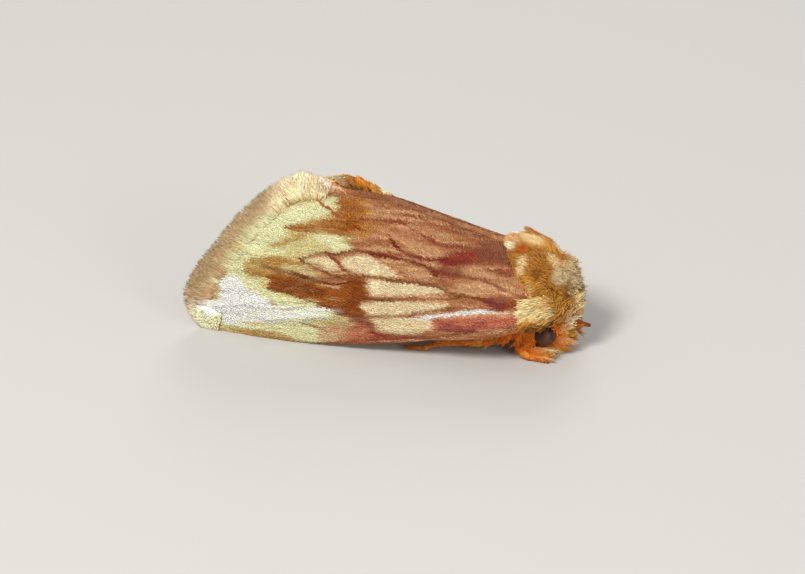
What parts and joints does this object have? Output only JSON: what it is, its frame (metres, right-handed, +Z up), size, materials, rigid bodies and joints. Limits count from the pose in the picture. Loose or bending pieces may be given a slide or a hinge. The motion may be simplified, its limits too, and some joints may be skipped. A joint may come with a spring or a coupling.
{
  "type": "moth, Cirrodes phoenicea, resting with closed wings",
  "caption": "Life-size still model of a resting noctuid moth, wings closed as a steep roof over the body, standing on its feet and wing edges.",
  "frame": {"origin": "on the floor, below the middle of the moth's box", "axes": "+X from tail to head, +Z up, the animal's right side at -Y"},
  "size_m": [0.0169, 0.0062, 0.0068],
  "materials": {
    "thorax_coat": "dull ochre and cream hair scales",
    "head_coat": "dull cream and orange hair scales",
    "abdomen_coat": "dull pinkish buff scales",
    "forewing": "salmon pink scales with cream fields and brown patches, faint sheen",
    "hindwing": "pale pinkish scales",
    "eye": "dark glossy",
    "feeler": "orange brown scales",
    "leg": "orange scales"
  },
  "bodies": {
    "root": {"thorax": "thorax_coat", "head": "head_coat", "abdomen": "abdomen_coat", "forewing_right": "forewing", "forewing_left": "forewing", "hindwing_right": "hindwing", "hindwing_left": "hindwing", "eye_right": "eye", "eye_left": "eye", "antenna_right": "feeler", "antenna_left": "feeler", "palp_right": "feeler", "palp_left": "feeler", "leg_front_right": "leg", "leg_front_left": "leg", "leg_mid_right": "leg", "leg_mid_left": "leg", "leg_hind_right": "leg", "leg_hind_left": "leg"}
  },
  "joints": []
}
